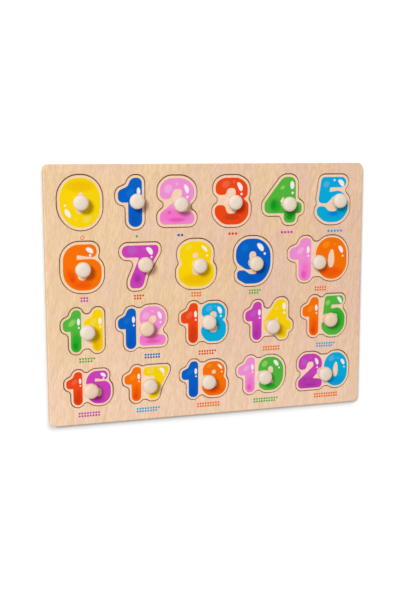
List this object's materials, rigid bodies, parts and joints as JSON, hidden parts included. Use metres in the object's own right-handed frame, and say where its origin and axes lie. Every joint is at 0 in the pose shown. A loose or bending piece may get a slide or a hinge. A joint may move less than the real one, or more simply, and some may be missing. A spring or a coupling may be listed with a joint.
{
  "type": "peg puzzle",
  "caption": "Wooden number peg puzzle: a flat two-layer plywood board whose printed number tiles lift out, each by a round-headed turned peg.",
  "frame": {"origin": "centre of the flat underside of the board", "axes": "+X along the board's width, from the tile with 0 towards the tile with 5; +Y up the printed face, from the lowest row of numbers towards the top row; +Z out of the printed face, the way the tiles lift"},
  "size_m": [0.3, 0.23, 0.021],
  "materials": {
    "board_wood": "sanded plywood, clear matt varnish",
    "backing_wood": "plain plywood",
    "peg_wood": "turned and sanded beech, clear matt varnish",
    "printed_yellow": "plywood with a semi-gloss yellow print and a bare rim",
    "printed_blue": "plywood with a semi-gloss blue print and a bare rim",
    "printed_pink": "plywood with a semi-gloss pink print and a bare rim",
    "printed_red": "plywood with a semi-gloss red print and a bare rim",
    "printed_green": "plywood with a semi-gloss green print and a bare rim",
    "printed_cyan": "plywood with a semi-gloss cyan print and a bare rim",
    "printed_orange": "plywood with a semi-gloss orange print and a bare rim",
    "printed_purple": "plywood with a semi-gloss purple print and a bare rim"
  },
  "bodies": {
    "board": {"board_front": "board_wood", "board_back": "backing_wood"},
    "number_0": {"tile_0": "printed_yellow", "peg_0": "peg_wood"},
    "number_1": {"tile_1": "printed_blue", "peg_1": "peg_wood"},
    "number_2": {"tile_2": "printed_pink", "peg_2": "peg_wood"},
    "number_3": {"tile_3": "printed_red", "peg_3": "peg_wood"},
    "number_4": {"tile_4": "printed_green", "peg_4": "peg_wood"},
    "number_5": {"tile_5": "printed_cyan", "peg_5": "peg_wood"},
    "number_6": {"tile_6": "printed_orange", "peg_6": "peg_wood"},
    "number_7": {"tile_7": "printed_purple", "peg_7": "peg_wood"},
    "number_8": {"tile_8": "printed_yellow", "peg_8": "peg_wood"},
    "number_9": {"tile_9": "printed_blue", "peg_9": "peg_wood"},
    "number_10": {"tile_10": "printed_orange", "peg_10": "peg_wood"},
    "number_11": {"tile_11": "printed_yellow", "peg_11": "peg_wood"},
    "number_12": {"tile_12": "printed_pink", "peg_12": "peg_wood"},
    "number_13": {"tile_13": "printed_cyan", "peg_13": "peg_wood"},
    "number_14": {"tile_14": "printed_yellow", "peg_14": "peg_wood"},
    "number_15": {"tile_15": "printed_green", "peg_15": "peg_wood"},
    "number_16": {"tile_16": "printed_purple", "peg_16": "peg_wood"},
    "number_17": {"tile_17": "printed_yellow", "peg_17": "peg_wood"},
    "number_18": {"tile_18": "printed_orange", "peg_18": "peg_wood"},
    "number_19": {"tile_19": "printed_green", "peg_19": "peg_wood"},
    "number_20": {"tile_20": "printed_purple", "peg_20": "peg_wood"}
  },
  "joints": [
    {"name": "lift_0", "type": "slide", "parent": "board", "child": "number_0", "axis": [0, 0, 1], "range_m": [0, 0.03]},
    {"name": "lift_1", "type": "slide", "parent": "board", "child": "number_1", "axis": [0, 0, 1], "range_m": [0, 0.03]},
    {"name": "lift_2", "type": "slide", "parent": "board", "child": "number_2", "axis": [0, 0, 1], "range_m": [0, 0.03]},
    {"name": "lift_3", "type": "slide", "parent": "board", "child": "number_3", "axis": [0, 0, 1], "range_m": [0, 0.03]},
    {"name": "lift_4", "type": "slide", "parent": "board", "child": "number_4", "axis": [0, 0, 1], "range_m": [0, 0.03]},
    {"name": "lift_5", "type": "slide", "parent": "board", "child": "number_5", "axis": [0, 0, 1], "range_m": [0, 0.03]},
    {"name": "lift_6", "type": "slide", "parent": "board", "child": "number_6", "axis": [0, 0, 1], "range_m": [0, 0.03]},
    {"name": "lift_7", "type": "slide", "parent": "board", "child": "number_7", "axis": [0, 0, 1], "range_m": [0, 0.03]},
    {"name": "lift_8", "type": "slide", "parent": "board", "child": "number_8", "axis": [0, 0, 1], "range_m": [0, 0.03]},
    {"name": "lift_9", "type": "slide", "parent": "board", "child": "number_9", "axis": [0, 0, 1], "range_m": [0, 0.03]},
    {"name": "lift_10", "type": "slide", "parent": "board", "child": "number_10", "axis": [0, 0, 1], "range_m": [0, 0.03]},
    {"name": "lift_11", "type": "slide", "parent": "board", "child": "number_11", "axis": [0, 0, 1], "range_m": [0, 0.03]},
    {"name": "lift_12", "type": "slide", "parent": "board", "child": "number_12", "axis": [0, 0, 1], "range_m": [0, 0.03]},
    {"name": "lift_13", "type": "slide", "parent": "board", "child": "number_13", "axis": [0, 0, 1], "range_m": [0, 0.03]},
    {"name": "lift_14", "type": "slide", "parent": "board", "child": "number_14", "axis": [0, 0, 1], "range_m": [0, 0.03]},
    {"name": "lift_15", "type": "slide", "parent": "board", "child": "number_15", "axis": [0, 0, 1], "range_m": [0, 0.03]},
    {"name": "lift_16", "type": "slide", "parent": "board", "child": "number_16", "axis": [0, 0, 1], "range_m": [0, 0.03]},
    {"name": "lift_17", "type": "slide", "parent": "board", "child": "number_17", "axis": [0, 0, 1], "range_m": [0, 0.03]},
    {"name": "lift_18", "type": "slide", "parent": "board", "child": "number_18", "axis": [0, 0, 1], "range_m": [0, 0.03]},
    {"name": "lift_19", "type": "slide", "parent": "board", "child": "number_19", "axis": [0, 0, 1], "range_m": [0, 0.03]},
    {"name": "lift_20", "type": "slide", "parent": "board", "child": "number_20", "axis": [0, 0, 1], "range_m": [0, 0.03]}
  ]
}
